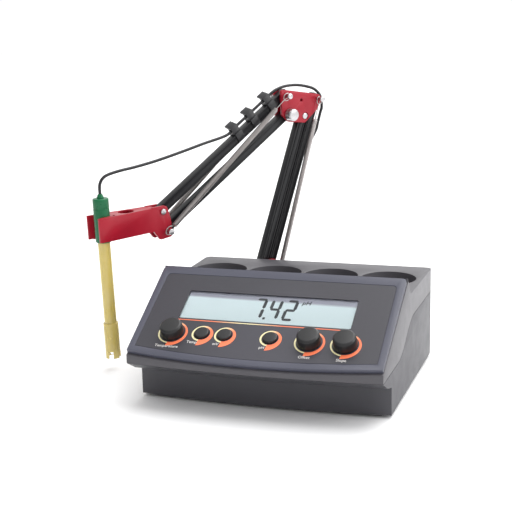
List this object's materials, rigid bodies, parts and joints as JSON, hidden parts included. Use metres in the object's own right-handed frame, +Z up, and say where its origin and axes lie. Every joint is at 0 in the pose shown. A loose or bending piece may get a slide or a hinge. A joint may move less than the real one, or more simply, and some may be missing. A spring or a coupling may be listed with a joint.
{
  "type": "benchtop ph meter with electrode arm",
  "caption": "Benchtop pH meter with a sloping panel, knobs, keys and display, and a spring-balanced arm that holds a cabled pH electrode beside it.",
  "frame": {"origin": "on the bench under the middle of the case, on the underside of the stand plate", "axes": "+Z up, the panel faces -Y, +X is to the right of a person at the panel"},
  "size_m": [0.3097, 0.3182, 0.2645],
  "materials": {
    "case_grey": "satin moulded",
    "base_grey": "satin moulded",
    "bezel_blue_grey": "satin moulded",
    "label_charcoal": "printed film",
    "display_clear": "clear window",
    "display_body": "module",
    "board_green": "solder mask",
    "black_satin": "satin moulded",
    "steel": "turned",
    "rubber_black": "matte",
    "painted_black": "powder coat",
    "bar_black": "anodised",
    "red_plastic": "moulded",
    "spring_chrome": "close wound wire",
    "chrome": "polished",
    "cap_green": "moulded",
    "tube_amber": "translucent",
    "junction_orange": "porous",
    "glass_clear": "thin blown",
    "core_ivory": "matte",
    "cable_black": "satin jacket",
    "bush_white": "turned"
  },
  "bodies": {
    "root": {"base_case": "base_grey", "top_case": "case_grey", "front_bezel": "bezel_blue_grey", "panel_label": "label_charcoal", "display_window": "display_clear", "display_module": "display_body", "main_board": "board_green", "board_screws": "steel", "potentiometers": "steel", "key_switches": "black_satin", "feet": "rubber_black", "case_screws": "steel", "input_board": "board_green", "bnc_socket": "chrome", "probe_socket": "black_satin", "power_socket": "black_satin", "stand_plate": "painted_black", "plate_screws": "steel", "swivel_post": "steel", "cable_lead": "cable_black", "cable_coil": "cable_black", "bnc_plug": "chrome", "bnc_ring": "chrome"},
    "temperature_control": {"temperature_knob": "black_satin", "temperature_shaft": "steel"},
    "offset_control": {"offset_knob": "black_satin", "offset_shaft": "steel"},
    "slope_control": {"slope_knob": "black_satin", "slope_shaft": "steel"},
    "temperature_button": {"temperature_key": "black_satin"},
    "millivolt_button": {"millivolt_key": "black_satin"},
    "ph_button": {"ph_key": "black_satin"},
    "swivel": {"swivel_bush": "bush_white", "swivel_bracket": "red_plastic", "bracket_pins": "chrome", "cable_drop": "cable_black"},
    "lower_arm": {"lower_bar_front": "bar_black", "cable_back": "cable_black"},
    "lower_link": {"lower_bar_rear": "bar_black"},
    "lower_balance": {"lower_springs": "spring_chrome"},
    "elbow": {"elbow_plate_front": "red_plastic", "elbow_plate_rear": "red_plastic", "elbow_spacer": "red_plastic", "elbow_pins": "chrome", "cable_elbow": "cable_black"},
    "elbow_clamp": {"elbow_knob": "chrome"},
    "upper_arm": {"upper_bar": "bar_black", "upper_springs": "spring_chrome", "cable_clips": "black_satin", "cable_arc": "cable_black"},
    "upper_link": {"upper_link": "bar_black"},
    "holder": {"electrode_holder": "red_plastic", "holder_pins": "chrome", "electrode_cap": "cap_green", "electrode_tube": "tube_amber", "electrode_guard": "tube_amber", "junction_ring": "junction_orange", "electrode_core": "core_ivory", "sensing_bulb": "glass_clear", "strain_relief": "cap_green"}
  },
  "joints": [
    {"name": "swivel_turn", "type": "hinge", "parent": "root", "child": "swivel", "pos_m": [-0.064, 0.14, 0.02], "axis": [0, 0, 1], "range_deg": [-100, 8], "deforming": ["cable_drop", "cable_lead"]},
    {"name": "lower_arm_tilt", "type": "hinge", "parent": "swivel", "child": "lower_arm", "pos_m": [-0.07135, 0.12989, 0.058], "axis": [0.809, -0.5878, 0], "range_deg": [-2, 20], "deforming": ["cable_back", "cable_drop", "lower_springs"]},
    {"name": "lower_link_tilt", "type": "hinge", "parent": "swivel", "child": "lower_link", "pos_m": [-0.0613, 0.14372, 0.0748], "axis": [0.809, -0.5878, 0], "range_deg": [-2, 20]},
    {"name": "lower_balance_tilt", "type": "hinge", "parent": "swivel", "child": "lower_balance", "pos_m": [-0.06047, 0.14485, 0.053], "axis": [0.809, -0.5878, 0], "range_deg": [-2, 20], "deforming": ["lower_springs"]},
    {"name": "elbow_level", "type": "hinge", "parent": "lower_arm", "child": "elbow", "pos_m": [-0.03383, 0.18153, 0.23057], "axis": [0.809, -0.5878, 0], "range_deg": [-20, 2], "deforming": ["cable_elbow", "cable_back"]},
    {"name": "elbow_clamp_turn", "type": "hinge", "parent": "elbow", "child": "elbow_clamp", "pos_m": [-0.0464, 0.16422, 0.23357], "axis": [0.809, -0.5878, 0], "range_deg": [-90, 90]},
    {"name": "upper_arm_lift", "type": "hinge", "parent": "elbow", "child": "upper_arm", "pos_m": [-0.04887, 0.16082, 0.25317], "axis": [-0.809, 0.5878, 0], "range_deg": [-2, 40], "deforming": ["cable_elbow", "cable_arc", "upper_springs"]},
    {"name": "upper_link_lift", "type": "hinge", "parent": "elbow", "child": "upper_link", "pos_m": [-0.0464, 0.16422, 0.23357], "axis": [-0.809, 0.5878, 0], "range_deg": [-2, 40]},
    {"name": "holder_level", "type": "hinge", "parent": "upper_arm", "child": "holder", "pos_m": [-0.13875, 0.03712, 0.15081], "axis": [-0.809, 0.5878, 0], "range_deg": [-40, 2], "deforming": ["cable_arc"]},
    {"name": "temperature_knob_turn", "type": "hinge", "parent": "root", "child": "temperature_control", "pos_m": [-0.0786, -0.08499, 0.06931], "axis": [0, -0.4802, 0.8771], "range_deg": [-140, 140]},
    {"name": "offset_knob_turn", "type": "hinge", "parent": "root", "child": "offset_control", "pos_m": [0.046, -0.08482, 0.06941], "axis": [0, -0.4802, 0.8771], "range_deg": [-140, 140]},
    {"name": "slope_knob_turn", "type": "hinge", "parent": "root", "child": "slope_control", "pos_m": [0.0775, -0.08482, 0.06941], "axis": [0, -0.4802, 0.8771], "range_deg": [-140, 140]},
    {"name": "temperature_key_press", "type": "slide", "parent": "root", "child": "temperature_button", "axis": [0, 0.4802, -0.8771], "range_m": [0, 0.0012], "stiffness_N_per_m": 250, "springref_m": -0.002},
    {"name": "millivolt_key_press", "type": "slide", "parent": "root", "child": "millivolt_button", "axis": [0, 0.4802, -0.8771], "range_m": [0, 0.0012], "stiffness_N_per_m": 250, "springref_m": -0.002},
    {"name": "ph_key_press", "type": "slide", "parent": "root", "child": "ph_button", "axis": [0, 0.4802, -0.8771], "range_m": [0, 0.0012], "stiffness_N_per_m": 250, "springref_m": -0.002}
  ],
  "couplings": [
    {"joint": "lower_link_tilt", "follows": "lower_arm_tilt", "ratio": 1},
    {"joint": "lower_balance_tilt", "follows": "lower_arm_tilt", "ratio": 0.896},
    {"joint": "elbow_level", "follows": "lower_arm_tilt", "ratio": -1},
    {"joint": "upper_link_lift", "follows": "upper_arm_lift", "ratio": 1},
    {"joint": "holder_level", "follows": "upper_arm_lift", "ratio": -1}
  ]
}
